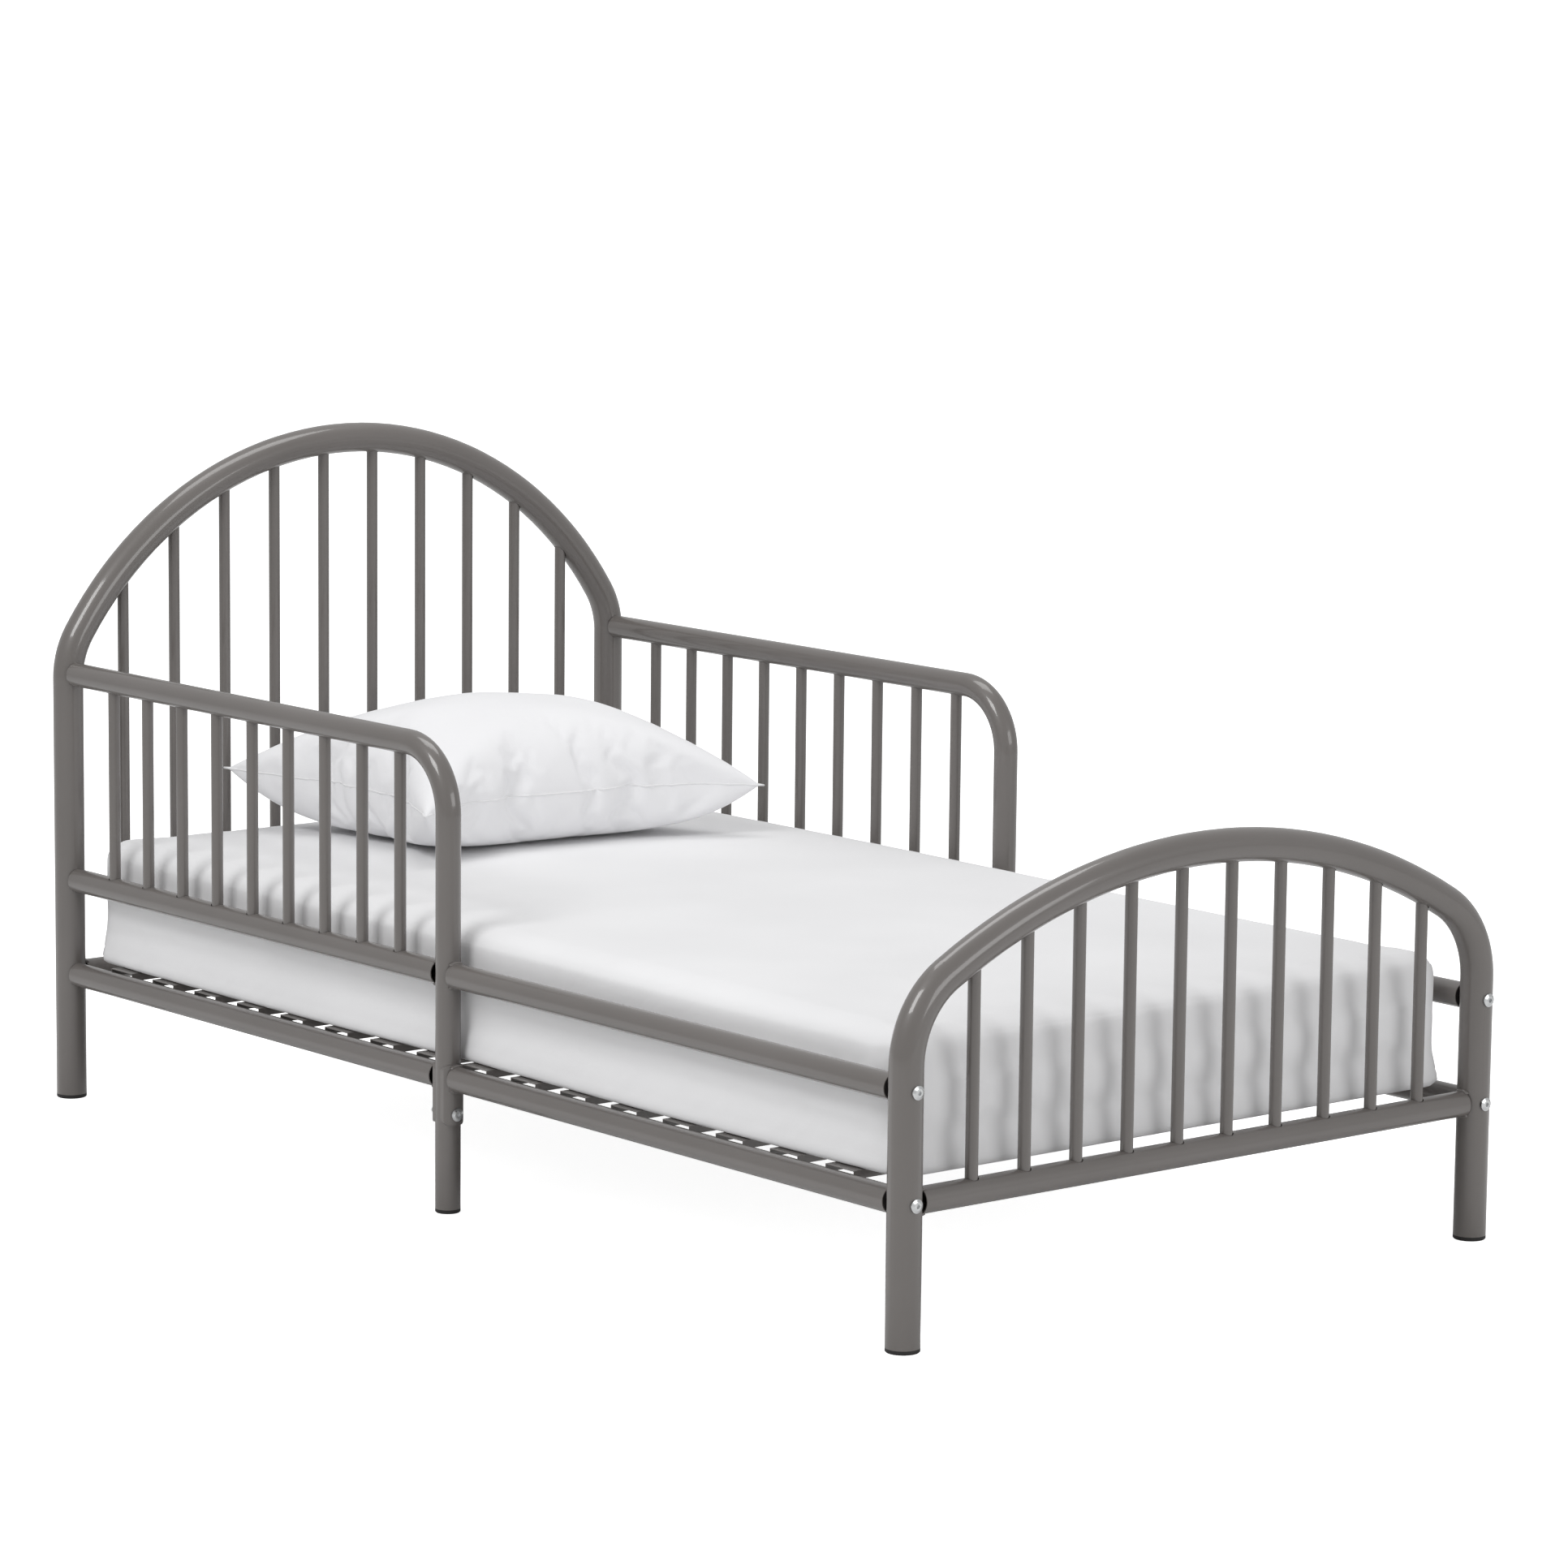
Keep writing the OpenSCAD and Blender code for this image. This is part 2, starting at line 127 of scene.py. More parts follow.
def tube_along(name: str, points: list[Vector], radius: float, closed: bool) -> bpy.types.Object:
    """Builds a thin round tube along a line, as a mesh.

    Args:
        name: Name of the piece.
        points: Points of the line.
        radius: Radius of the tube.
        closed: Whether the line's end meets its start.

    Returns:
        The tube.
    """
    curve = bpy.data.curves.new(name, "CURVE")
    curve.dimensions = "3D"
    curve.bevel_depth = radius
    curve.bevel_resolution = 2
    curve.use_fill_caps = not closed
    spline = curve.splines.new("POLY")
    spline.points.add(len(points) - 1)
    for target, point in zip(spline.points, points):
        target.co = (*point, 1.0)
    spline.use_cyclic_u = closed
    line = bpy.data.objects.new(name + "_line", curve)
    bpy.context.scene.collection.objects.link(line)
    graph = bpy.context.evaluated_depsgraph_get()
    mesh = bpy.data.meshes.new_from_object(line.evaluated_get(graph))
    bpy.data.objects.remove(line)
    bpy.data.curves.remove(curve)
    mesh.name = name
    for face in mesh.polygons:
        face.use_smooth = True
    obj = bpy.data.objects.new(name, mesh)
    bpy.context.scene.collection.objects.link(obj)
    return obj


@dataclass(frozen=True)
class Inflation:
    """How a closed skin is blown up by the cloth simulation."""

    pressure: float
    frames: int
    cap: float
    mass: float = 0.3
    tension: float = 15.0
    compression: float = 5.0
    bending: float = 0.5
    quality: int = 5
    firm: float = 0.0

    def blow_up(self, obj: bpy.types.Object) -> bpy.types.Object:
        """Simulates the skin and keeps the result.

        Args:
            obj: A closed skin.

        Returns:
            The same piece with the blown-up mesh.
        """
        start = [v.co.copy() for v in obj.data.vertices]
        cloth = obj.modifiers.new("skin", "CLOTH")
        settings = cloth.settings
        settings.quality = self.quality
        settings.mass = self.mass
        settings.tension_stiffness = self.tension
        settings.compression_stiffness = self.compression
        settings.shear_stiffness = self.compression
        settings.bending_stiffness = self.bending
        settings.use_pressure = True
        settings.uniform_pressure_force = self.pressure
        settings.effector_weights.gravity = 0.0
        cloth.collision_settings.use_collision = False
        cloth.point_cache.frame_start = 1
        cloth.point_cache.frame_end = self.frames
        scene = bpy.context.scene
        for step in range(1, self.frames + 1):
            scene.frame_set(step)
        bake_modifiers(obj)
        scene.frame_set(1)
        lowest = min(rest.z for rest in start)
        for vertex, rest in zip(obj.data.vertices, start):
            way = vertex.co - rest
            if way.length > self.cap:
                way = way.normalized() * self.cap
            if self.firm:
                free = min(max((rest.z - lowest) / self.firm - 1.0, 0.0), 1.0)
                way *= free * free * (3 - 2 * free)
            vertex.co = rest + way
        return obj


# ---------------------------------------------------------------- shader groups


class ShaderKit:
    """Node groups that several finishes share, each built once."""

    GRAIN = "fine_grain"
    WEAVE = "cotton_weave"

    def __init__(self) -> None:
        """Builds both groups."""
        self.grain = self._grain()
        self.weave = self._weave()

    @staticmethod
    def _start(name: str, inputs: list[tuple[str, float]], outputs: list[str]) -> tuple:
        """Makes an empty group with value sockets.

        Args:
            name: Name of the group.
            inputs: Input names with their defaults.
            outputs: Output names.

        Returns:
            The group, its input node and its output node.
        """
        tree = bpy.data.node_groups.new(name, "ShaderNodeTree")
        for label, default in inputs:
            socket = tree.interface.new_socket(label, in_out="INPUT", socket_type="NodeSocketFloat")
            socket.default_value = default
        for label in outputs:
            tree.interface.new_socket(label, in_out="OUTPUT", socket_type="NodeSocketFloat")
        return tree, tree.nodes.new("NodeGroupInput"), tree.nodes.new("NodeGroupOutput")

    @staticmethod
    def math_node(
        tree: bpy.types.NodeTree, operation: str, first: object, second: object = None
    ) -> bpy.types.NodeSocket:
        """Adds a Math node.

        Args:
            tree: Where it goes.
            operation: What it does.
            first: A socket or a number.
            second: A socket or a number, where the operation needs one.

        Returns:
            Its output socket.
        """
        node = tree.nodes.new("ShaderNodeMath")
        node.operation = operation
        for index, value in enumerate((first, second)):
            if value is None:
                continue
            if isinstance(value, bpy.types.NodeSocket):
                tree.links.new(value, node.inputs[index])
            else:
                node.inputs[index].default_value = value
        return node.outputs[0]

    def _grain(self) -> bpy.types.NodeTree:
        """Fine orange peel with slow patches of tone.

        Returns:
            A group with Scale and Patch Scale in, Height and Patch out.
        """
        tree, group_in, group_out = self._start(
            self.GRAIN, [("Scale", 900.0), ("Patch Scale", 7.0)], ["Height", "Patch"]
        )
        place = tree.nodes.new("ShaderNodeTexCoord")
        for source, target, detail in (("Scale", "Height", 2.0), ("Patch Scale", "Patch", 3.0)):
            cloud = tree.nodes.new("ShaderNodeTexNoise")
            cloud.inputs["Detail"].default_value = detail
            tree.links.new(place.outputs["Object"], cloud.inputs["Vector"])
            tree.links.new(group_in.outputs[source], cloud.inputs["Scale"])
            tree.links.new(cloud.outputs["Fac"], group_out.inputs[target])
        return tree

    def _weave(self) -> bpy.types.NodeTree:
        """Plain weave that follows whichever way a face looks, with soft creases.

        Returns:
            A group with Threads and Crease Scale in, Height, Crease and Patch out.
        """
        tree, group_in, group_out = self._start(
            self.WEAVE,
            [("Threads", 10000.0), ("Crease Scale", 14.0)],
            ["Height", "Crease", "Patch"],
        )
        place = tree.nodes.new("ShaderNodeTexCoord")
        spot = tree.nodes.new("ShaderNodeSeparateXYZ")
        facing = tree.nodes.new("ShaderNodeSeparateXYZ")
        tree.links.new(place.outputs["Object"], spot.inputs[0])
        tree.links.new(place.outputs["Normal"], facing.inputs[0])
        waves = {}
        weights = {}
        for letter in "XYZ":
            turns = self.math_node(tree, "MULTIPLY", spot.outputs[letter], group_in.outputs["Threads"])
            waves[letter] = self.math_node(tree, "SINE", turns)
            weights[letter] = self.math_node(
                tree, "MULTIPLY", facing.outputs[letter], facing.outputs[letter]
            )
        total = None
        for across, along, up in (("X", "Y", "Z"), ("Y", "Z", "X"), ("Z", "X", "Y")):
            knots = self.math_node(tree, "MULTIPLY", waves[across], waves[along])
            share = self.math_node(tree, "MULTIPLY", knots, weights[up])
            total = share if total is None else self.math_node(tree, "ADD", total, share)
        tree.links.new(total, group_out.inputs["Height"])
        crease = tree.nodes.new("ShaderNodeTexNoise")
        crease.inputs["Detail"].default_value = 4.0
        crease.inputs["Distortion"].default_value = 0.8
        patch = tree.nodes.new("ShaderNodeTexNoise")
        patch.inputs["Scale"].default_value = 5.0
        for cloud, target in ((crease, "Crease"), (patch, "Patch")):
            tree.links.new(place.outputs["Object"], cloud.inputs["Vector"])
            tree.links.new(cloud.outputs["Fac"], group_out.inputs[target])
        tree.links.new(group_in.outputs["Crease Scale"], crease.inputs["Scale"])
        return tree

    def place(
        self, tree: bpy.types.NodeTree, group: bpy.types.NodeTree, **values: float
    ) -> bpy.types.Node:
        """Puts a group into a material.

        Args:
            tree: The material's node tree.
            group: The group.
            **values: Values of its inputs, with _ for a space.

        Returns:
            The group node.
        """
        node = tree.nodes.new("ShaderNodeGroup")
        node.node_tree = group
        for label, value in values.items():
            node.inputs[label.replace("_", " ")].default_value = value
        return node


def tone_ramp(
    tree: bpy.types.NodeTree, mask: bpy.types.NodeSocket, dark: tuple, light: tuple
) -> bpy.types.NodeSocket:
    """Turns a mask into a colour between two tones.

    Args:
        tree: The material's node tree.
        mask: Values round a half.
        dark: Linear colour where the mask is low.
        light: Linear colour where it is high.

    Returns:
        The colour socket.
    """
    ramp = tree.nodes.new("ShaderNodeValToRGB")
    for stop, position, colour in zip(ramp.color_ramp.elements, RAMP_ENDS, (dark, light)):
        stop.position = position
        stop.color = (*colour, 1.0)
    tree.links.new(mask, ramp.inputs["Fac"])
    return ramp.outputs["Color"]


def value_range(
    tree: bpy.types.NodeTree, mask: bpy.types.NodeSocket, low: float, high: float
) -> bpy.types.NodeSocket:
    """Maps a mask to a range of values.

    Args:
        tree: The material's node tree.
        mask: Values from 0 to 1.
        low: Value at 0.
        high: Value at 1.

    Returns:
        The value socket.
    """
    mapper = tree.nodes.new("ShaderNodeMapRange")
    mapper.inputs["To Min"].default_value = low
    mapper.inputs["To Max"].default_value = high
    tree.links.new(mask, mapper.inputs["Value"])
    return mapper.outputs["Result"]


def bump(
    tree: bpy.types.NodeTree,
    height: bpy.types.NodeSocket,
    strength: float,
    distance: float,
    under: bpy.types.NodeSocket | None = None,
) -> bpy.types.NodeSocket:
    """Adds a Bump node.

    Args:
        tree: The material's node tree.
        height: The height mask.
        strength: Strength of the relief.
        distance: Depth of the relief in metres.
        under: Normal of a coarser relief below it.

    Returns:
        The normal socket.
    """
    node = tree.nodes.new("ShaderNodeBump")
    node.inputs["Strength"].default_value = strength
    node.inputs["Distance"].default_value = distance
    tree.links.new(height, node.inputs["Height"])
    if under is not None:
        tree.links.new(under, node.inputs["Normal"])
    return node.outputs["Normal"]


def blank_material(name: str) -> tuple:
    """Makes a material with only a Principled BSDF.

    Args:
        name: Name of the material.

    Returns:
        The material, its tree and its shader.
    """
    material = bpy.data.materials.new(name)
    material.use_nodes = True
    tree = material.node_tree
    return material, tree, tree.nodes["Principled BSDF"]


# ---------------------------------------------------------------- finishes


@dataclass(frozen=True)
class CoatFinish:
    """Sprayed or moulded hard surface with a fine peel and slow patches of tone."""

    name: str
    dark: tuple
    light: tuple
    rough: tuple
    metallic: float = 0.0
    coat: float = 0.0
    coat_rough: float = 0.2
    grain_scale: float = 900.0
    grain_strength: float = 0.12
    grain_depth: float = 0.0004
    patch_scale: float = 7.0

    def material(self, kit: ShaderKit) -> bpy.types.Material:
        """Builds the material.

        Args:
            kit: The shared groups.

        Returns:
            The material.
        """
        material, tree, shader = blank_material(self.name)
        grain = kit.place(
            tree, kit.grain, Scale=self.grain_scale, Patch_Scale=self.patch_scale
        )
        patch = grain.outputs["Patch"]
        height = grain.outputs["Height"]
        tree.links.new(tone_ramp(tree, patch, self.dark, self.light), shader.inputs["Base Color"])
        tree.links.new(value_range(tree, patch, *self.rough), shader.inputs["Roughness"])
        relief = bump(tree, height, self.grain_strength, self.grain_depth)
        tree.links.new(relief, shader.inputs["Normal"])
        shader.inputs["Metallic"].default_value = self.metallic
        shader.inputs["Coat Weight"].default_value = self.coat
        shader.inputs["Coat Roughness"].default_value = self.coat_rough
        return material


@dataclass(frozen=True)
class CottonFinish:
    """Plain woven cotton with soft creases and a faint sheen."""

    name: str
    dark: tuple
    light: tuple
    threads: float = 9000.0
    thread_strength: float = 0.12
    thread_depth: float = 0.00012
    crease_scale: float = 13.0
    crease_strength: float = 0.35
    crease_depth: float = 0.0035
    rough: tuple = (0.82, 0.95)
    sheen: float = 0.12
    sheen_rough: float = 0.5
    specular: float = 0.25

    def material(self, kit: ShaderKit) -> bpy.types.Material:
        """Builds the material.

        Args:
            kit: The shared groups.

        Returns:
            The material.
        """
        material, tree, shader = blank_material(self.name)
        weave = kit.place(
            tree, kit.weave, Threads=self.threads, Crease_Scale=self.crease_scale
        )
        patch = weave.outputs["Patch"]
        folds = bump(tree, weave.outputs["Crease"], self.crease_strength, self.crease_depth)
        cloth = bump(tree, weave.outputs["Height"], self.thread_strength, self.thread_depth, folds)
        tree.links.new(tone_ramp(tree, patch, self.dark, self.light), shader.inputs["Base Color"])
        tree.links.new(value_range(tree, patch, *self.rough), shader.inputs["Roughness"])
        tree.links.new(cloth, shader.inputs["Normal"])
        shader.inputs["Sheen Weight"].default_value = self.sheen
        shader.inputs["Sheen Roughness"].default_value = self.sheen_rough
        shader.inputs["Specular IOR Level"].default_value = self.specular
        return material


COAT = CoatFinish(
    "warm_grey_coat",
    dark=(0.128, 0.116, 0.108),
    light=(0.142, 0.129, 0.121),
    rough=(0.34, 0.46),
    coat=0.9,
    coat_rough=0.09,
)
WELD_COAT = CoatFinish(
    "coat_over_weld",
    dark=(0.122, 0.110, 0.103),
    light=(0.150, 0.137, 0.128),
    rough=(0.36, 0.5),
    coat=0.8,
    coat_rough=0.14,
    grain_scale=420.0,
    grain_strength=0.35,
)
PLASTIC = CoatFinish(
    "black_moulding",
    dark=(0.010, 0.009, 0.009),
    light=(0.016, 0.014, 0.014),
    rough=(0.45, 0.6),
    grain_scale=1600.0,
    grain_strength=0.2,
    patch_scale=40.0,
)
ZINC = CoatFinish(
    "bright_zinc",
    dark=(0.60, 0.61, 0.62),
    light=(0.74, 0.75, 0.75),
    rough=(0.18, 0.32),
    metallic=1.0,
    grain_scale=700.0,
    grain_strength=0.06,
    patch_scale=120.0,
)
SHEET_COTTON = CottonFinish("sheet_cotton", dark=(0.80, 0.80, 0.81), light=(0.84, 0.84, 0.85))
CASE_COTTON = CottonFinish(
    "case_cotton", dark=(0.83, 0.83, 0.845), light=(0.87, 0.87, 0.885), crease_scale=17.0
)
HEM_COTTON = CottonFinish(
    "hem_cotton",
    dark=(0.78, 0.78, 0.79),
    light=(0.85, 0.85, 0.86),
    crease_scale=60.0,
    crease_depth=0.001,
)


# ---------------------------------------------------------------- the steel frame


@dataclass
class SteelFrame:
    """Tubes, slats, plugs, caps and bolts of the model in their finishes."""

    kit: ShaderKit
    plastic_nodes: tuple = ("leg_caps", "rail_plugs")
    zinc_nodes: tuple = ("threaded_inserts", "connector_bolts", "joint_nuts")
    soft_nodes: tuple = ("mattress", "pillow")

    def dress(self) -> None:
        """Gives every hard node its finish."""
        coat = COAT.material(self.kit)
        plastic = PLASTIC.material(self.kit)
        zinc = ZINC.material(self.kit)
        for name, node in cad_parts.items():
            if name in self.soft_nodes:
                continue
            chosen = coat
            if name in self.plastic_nodes:
                chosen = plastic
            elif name in self.zinc_nodes:
                chosen = zinc
            for material_slot in node.material_slots:
                material_slot.material = chosen
            log.info("dressed %s in %s", name, chosen.name)


@dataclass
class WeldBeads:
    """Beads over and under each tube end that is welded to a post."""

    kit: ShaderKit
    bead_r: float = 0.0019
    half_arc: float = 34.0
    arc_steps: int = 14
    bead_sides: int = 8
    bead_width: float = 1.25
    ripple: float = 0.00035
    ripple_scale: float = 420.0

    def bead(self, bm: bmesh.types.BMesh, end: Vector, axis: Axis, tube_r: float, up: int) -> None:
        """Adds one bead that hugs the upper or lower side of a tube's end.

        Args:
            bm: Mesh that takes the bead.
            end: Middle of the tube's end.
            axis: Which way the tube runs.
            tube_r: Outer radius of the tube.
            up: 1 for the upper side and -1 for the lower.
        """
        ring = bmesh.ops.create_circle(
            bm, cap_ends=False, radius=self.bead_r, segments=self.bead_sides
        )["verts"]
        bmesh.ops.scale(bm, verts=ring, vec=(self.bead_width, 1.0, 1.0))
        stand = Matrix.Rotation(math.radians(90), 4, "X")
        lift = Matrix.Translation((0.0, 0.0, tube_r * up))
        start = Matrix.Rotation(math.radians(-self.half_arc), 4, "X")
        bmesh.ops.transform(bm, matrix=start @ lift @ stand, verts=ring)
        edges = list({edge for vert in ring for edge in vert.link_edges})
        spun = bmesh.ops.spin(
            bm,
            geom=ring + edges,
            cent=(0, 0, 0),
            axis=(1, 0, 0),
            angle=math.radians(2 * self.half_arc),
            steps=self.arc_steps,
        )
        last = [item for item in spun["geom_last"] if isinstance(item, bmesh.types.BMEdge)]
        verts = self.connected(ring)
        caps = bmesh.ops.holes_fill(bm, edges=edges + last, sides=self.bead_sides + 1)["faces"]
        verts = list(set(verts) | {vert for face in caps for vert in face.verts})
        if axis is Axis.ALONG_Y:
            turn = Matrix.Rotation(math.radians(90), 4, "Z")
            bmesh.ops.transform(bm, matrix=turn, verts=verts)
        bmesh.ops.translate(bm, vec=end, verts=verts)
        for vert in verts:
            vert.co.z += self.ripple * noise.noise(vert.co * self.ripple_scale)

    @staticmethod
    def connected(seed: list) -> list:
        """Finds every vertex joined to the seed.

        Args:
            seed: Starting vertices.

        Returns:
            All vertices of their islands.
        """
        found = set(seed)
        todo = list(seed)
        while todo:
            vert = todo.pop()
            for edge in vert.link_edges:
                other = edge.other_vert(vert)
                if other not in found:
                    found.add(other)
                    todo.append(other)
        return list(found)

    def piece(self, name: str, ends: list[tuple[Vector, Axis, float]]) -> bpy.types.Object:
        """Builds the beads of one welded part.

        Args:
            name: Name of the piece.
            ends: Middle, direction and radius of each welded tube end.

        Returns:
            The piece, riding on the frame.
        """
        bm = bmesh.new()
        for end, axis, tube_r in ends:
            for up in (1, -1):
                self.bead(bm, end, axis, tube_r, up)
        bmesh.ops.recalc_face_normals(bm, faces=bm.faces)
        obj = piece_from(name, bm)
        obj.data.materials.append(WELD_COAT.material(self.kit))
        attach(obj, Body.FRAME.value)
        log.info("built %s", name)
        return obj

    @staticmethod
    def tube_ends(node: str, axis: Axis) -> tuple[Vector, Vector, float]:
        """Finds the end middles and the radius of a straight tube.

        Args:
            node: Name of the tube's node.
            axis: Which way it runs.

        Returns:
            Its low end, its high end and its outer radius.
        """
        low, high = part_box(node)
        middle = (low + high) / 2
        radius = (high.z - low.z) / 2
        if axis is Axis.ALONG_X:
            return (
                Vector((low.x, middle.y, middle.z)),
                Vector((high.x, middle.y, middle.z)),
                radius,
            )
        return Vector((middle.x, low.y, middle.z)), Vector((middle.x, high.y, middle.z)), radius

    def build(self) -> None:
        """Builds the beads of both boards, both guards and the side rails."""
        for board in ("headboard", "footboard"):
            low, high, radius = self.tube_ends(board + "_crossbar", Axis.ALONG_X)
            ends = [(low, Axis.ALONG_X, radius), (high, Axis.ALONG_X, radius)]
            self.piece(board + "_welds", ends)
        for side in ("left", "right"):
            near, _, radius = self.tube_ends("guard_lower_rail_" + side, Axis.ALONG_Y)
            _, far, _ = self.tube_ends("foot_upper_rail_" + side, Axis.ALONG_Y)
            ends = [(near, Axis.ALONG_Y, radius), (far, Axis.ALONG_Y, radius)]
            self.piece("guard_welds_" + side, ends)
            near, _, radius = self.tube_ends("head_side_rail_" + side, Axis.ALONG_Y)
            _, far, _ = self.tube_ends("foot_side_rail_" + side, Axis.ALONG_Y)
            ends = [(near, Axis.ALONG_Y, radius), (far, Axis.ALONG_Y, radius)]
            self.piece("saddle_welds_" + side, ends)


# ---------------------------------------------------------------- bedding


@dataclass
class Mattress:
    """Foam mattress in a fitted cotton sheet."""

    kit: ShaderKit
    inset: float = 0.0015
    corner_r: float = 0.024
    corner_steps: int = 8
    edge_r: float = 0.020
    lower_edge_r: float = 0.006
    edge_steps: int = 6
    voxel: float = 0.008
    skin: Inflation = Inflation(pressure=4.0, frames=14, cap=0.004, firm=0.016)
    margin: float = 0.0002
    sag: float = 0.0012
    top_wave: float = 0.0008
    top_wave_rate: float = 3.0
    fold_height: float = 0.0022
    fold_band: float = 0.062
    fold_rate: float = 26.0
    fold_slant: float = 3.0
    fold_stretch: float = 1.6
    fold_sharpness: float = 0.7
    corner_folds: float = 0.9
    corner_power: int = 8
    broad_wave: float = 0.0012
    broad_rate: float = 5.0
    spill: float = 0.0065
    spill_top: float = 0.055
    spill_from: float = 0.8
    spill_ramp: float = 0.15
    spill_round: float = 0.6
    rim_r: float = 0.018
    rim_power: float = 7.0
    seam_r: float = 0.0008
    seam_points: int = 22
    seam_top: float = 0.012
    seam_short: float = 0.028
    seam_wander: float = 0.0015

    def block(self) -> bpy.types.Object:
        """Builds the rounded block that the sheet is stretched over.

        Returns:
            The block, remeshed to even faces.
        """
        low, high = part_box("mattress")
        size = high - low - Vector((2 * self.inset,) * 3)
        bm = bmesh.new()
        bmesh.ops.create_cube(bm, size=1.0)
        bmesh.ops.scale(bm, vec=size, verts=bm.verts)
        bmesh.ops.translate(bm, vec=(low + high) / 2, verts=bm.verts)
        upright = [e for e in bm.edges if abs(e.verts[0].co.z - e.verts[1].co.z) > self.edge_r]
        bmesh.ops.bevel(
            bm,
            geom=upright,
            offset=self.corner_r,
            affect="EDGES",
            segments=self.corner_steps,
            profile=0.5,
            material=-1,
        )
        middle_z = (low.z + high.z) / 2
        for above, radius in ((True, self.edge_r), (False, self.lower_edge_r)):
            rim = [
                e
                for e in bm.edges
                if abs(e.verts[0].co.z - e.verts[1].co.z) < 1e-6
                and (e.verts[0].co.z > middle_z) is above
                and e.calc_face_angle(0.0) > 1.0
            ]
            bmesh.ops.bevel(
                bm,
                geom=rim,
                offset=radius,
                affect="EDGES",
                segments=self.edge_steps,
                profile=0.5,
                material=-1,
            )
        obj = piece_from("mattress_in_sheet", bm)
        remesh = obj.modifiers.new("even", "REMESH")
        remesh.mode = "VOXEL"
        remesh.voxel_size = self.voxel
        return bake_modifiers(obj)

    def square_rim(self, co: Vector, low: Vector, high: Vector) -> None:
        """Draws the lower rim out towards a square edge, as the sheet pulled under it does.

        Args:
            co: A point of the mattress, moved here.
            low: Lowest corner of its space.
            high: Highest corner of its space.
        """
        for letter in (0, 1):
            outward = 1.0 if co[letter] > (low[letter] + high[letter]) / 2 else -1.0
            face = high[letter] if outward > 0 else low[letter]
            out = self.rim_r - outward * (face - co[letter])
            down = self.rim_r - (co.z - low.z)
            if out <= 0 or down <= 0:
                continue
            reach = (out**self.rim_power + down**self.rim_power) ** (1 / self.rim_power)
            grow = math.hypot(out, down) / reach
            co[letter] += outward * out * (grow - 1)
            co.z -= down * (grow - 1)

    def fold_push(self, co: Vector, normal: Vector, low: Vector, high: Vector) -> float:
        """Tells how far the folds of the sheet move a point along its normal.

        Args:
            co: A point of the mattress.
            normal: Its normal.
            low: Lowest corner of the mattress's space.
            high: Highest corner of its space.

        Returns:
            The distance, below zero where the sheet is drawn in.
        """
        middle = (low + high) / 2
        half = (high - low) / 2
        side = max(0.0, 1.0 - abs(normal.z))
        above = (co.z - low.z) / (high.z - low.z)
        lower = max(0.0, 1.0 - (co.z - low.z) / self.fold_band)
        corner = 1.0
        for letter in (0, 1):
            corner *= (abs(co[letter] - middle[letter]) / half[letter]) ** self.corner_power
        run = co.x if abs(normal.y) > abs(normal.x) else co.y
        slanted = Vector(
            (
                run * self.fold_rate + above * self.fold_slant,
                above * self.fold_stretch,
                normal.x * self.fold_slant,
            )
        )
        fold = abs(noise.noise(slanted)) ** self.fold_sharpness
        broad = noise.noise(Vector((run * self.broad_rate, above * 2, normal.y * 2 + 7)))
        drawn_in = self.fold_height * side * fold * (lower + self.corner_folds * corner)
        return self.broad_wave * side * broad - drawn_in

    def spill_out(self, co: Vector, low: Vector, high: Vector) -> None:
        """Lets the foot of each long side swell out between the legs.

        Args:
            co: A point of the mattress, moved here.
            low: Lowest corner of its space.
            high: Highest corner of its space.
        """
        middle = (low + high) / 2
        half = (high - low) / 2
        across = (co.x - middle.x) / half.x
        if abs(across) <= self.spill_from:
            return
        along = min(abs(co.y - middle.y) / half.y, 1.0)
        rise = min(max((co.z - low.z) / self.spill_top, 0.0), 1.0)
        span = abs(math.sin(math.pi * along)) ** self.spill_round
        reach = min(1.0, (abs(across) - self.spill_from) / self.spill_ramp)
        co.x += math.copysign(self.spill, across) * reach * span * (1 - rise * rise)

    def settle(self, obj: bpy.types.Object) -> None:
        """Adds folds near the lower edge, a slight sag on top, and keeps the piece in its space.

        Args:
            obj: The mattress.
        """
        low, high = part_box("mattress")
        middle = (low + high) / 2
        half = (high - low) / 2
        lowest = min(v.co.z for v in obj.data.vertices)
        for vertex, normal in zip(obj.data.vertices, [v.normal.copy() for v in obj.data.vertices]):
            co = vertex.co
            co += normal * self.fold_push(co, normal, low, high)
            if normal.z > 0.5:
                rate = self.top_wave_rate
                slow = noise.noise(Vector((co.x * rate, co.y * rate, 2.0)))
                fall = self.sag * (1 - ((co.x - middle.x) / half.x) ** 2)
                co.z -= fall - self.top_wave * slow
            rise = max(0.0, 1.0 - (co.z - low.z) / (2 * self.rim_r))
            co.z -= (lowest - low.z - self.margin) * rise
            self.square_rim(co, low, high)
            for letter in range(3):
                co[letter] = min(max(co[letter], low[letter] + self.margin), high[letter] - self.margin)
            self.spill_out(co, low, high)

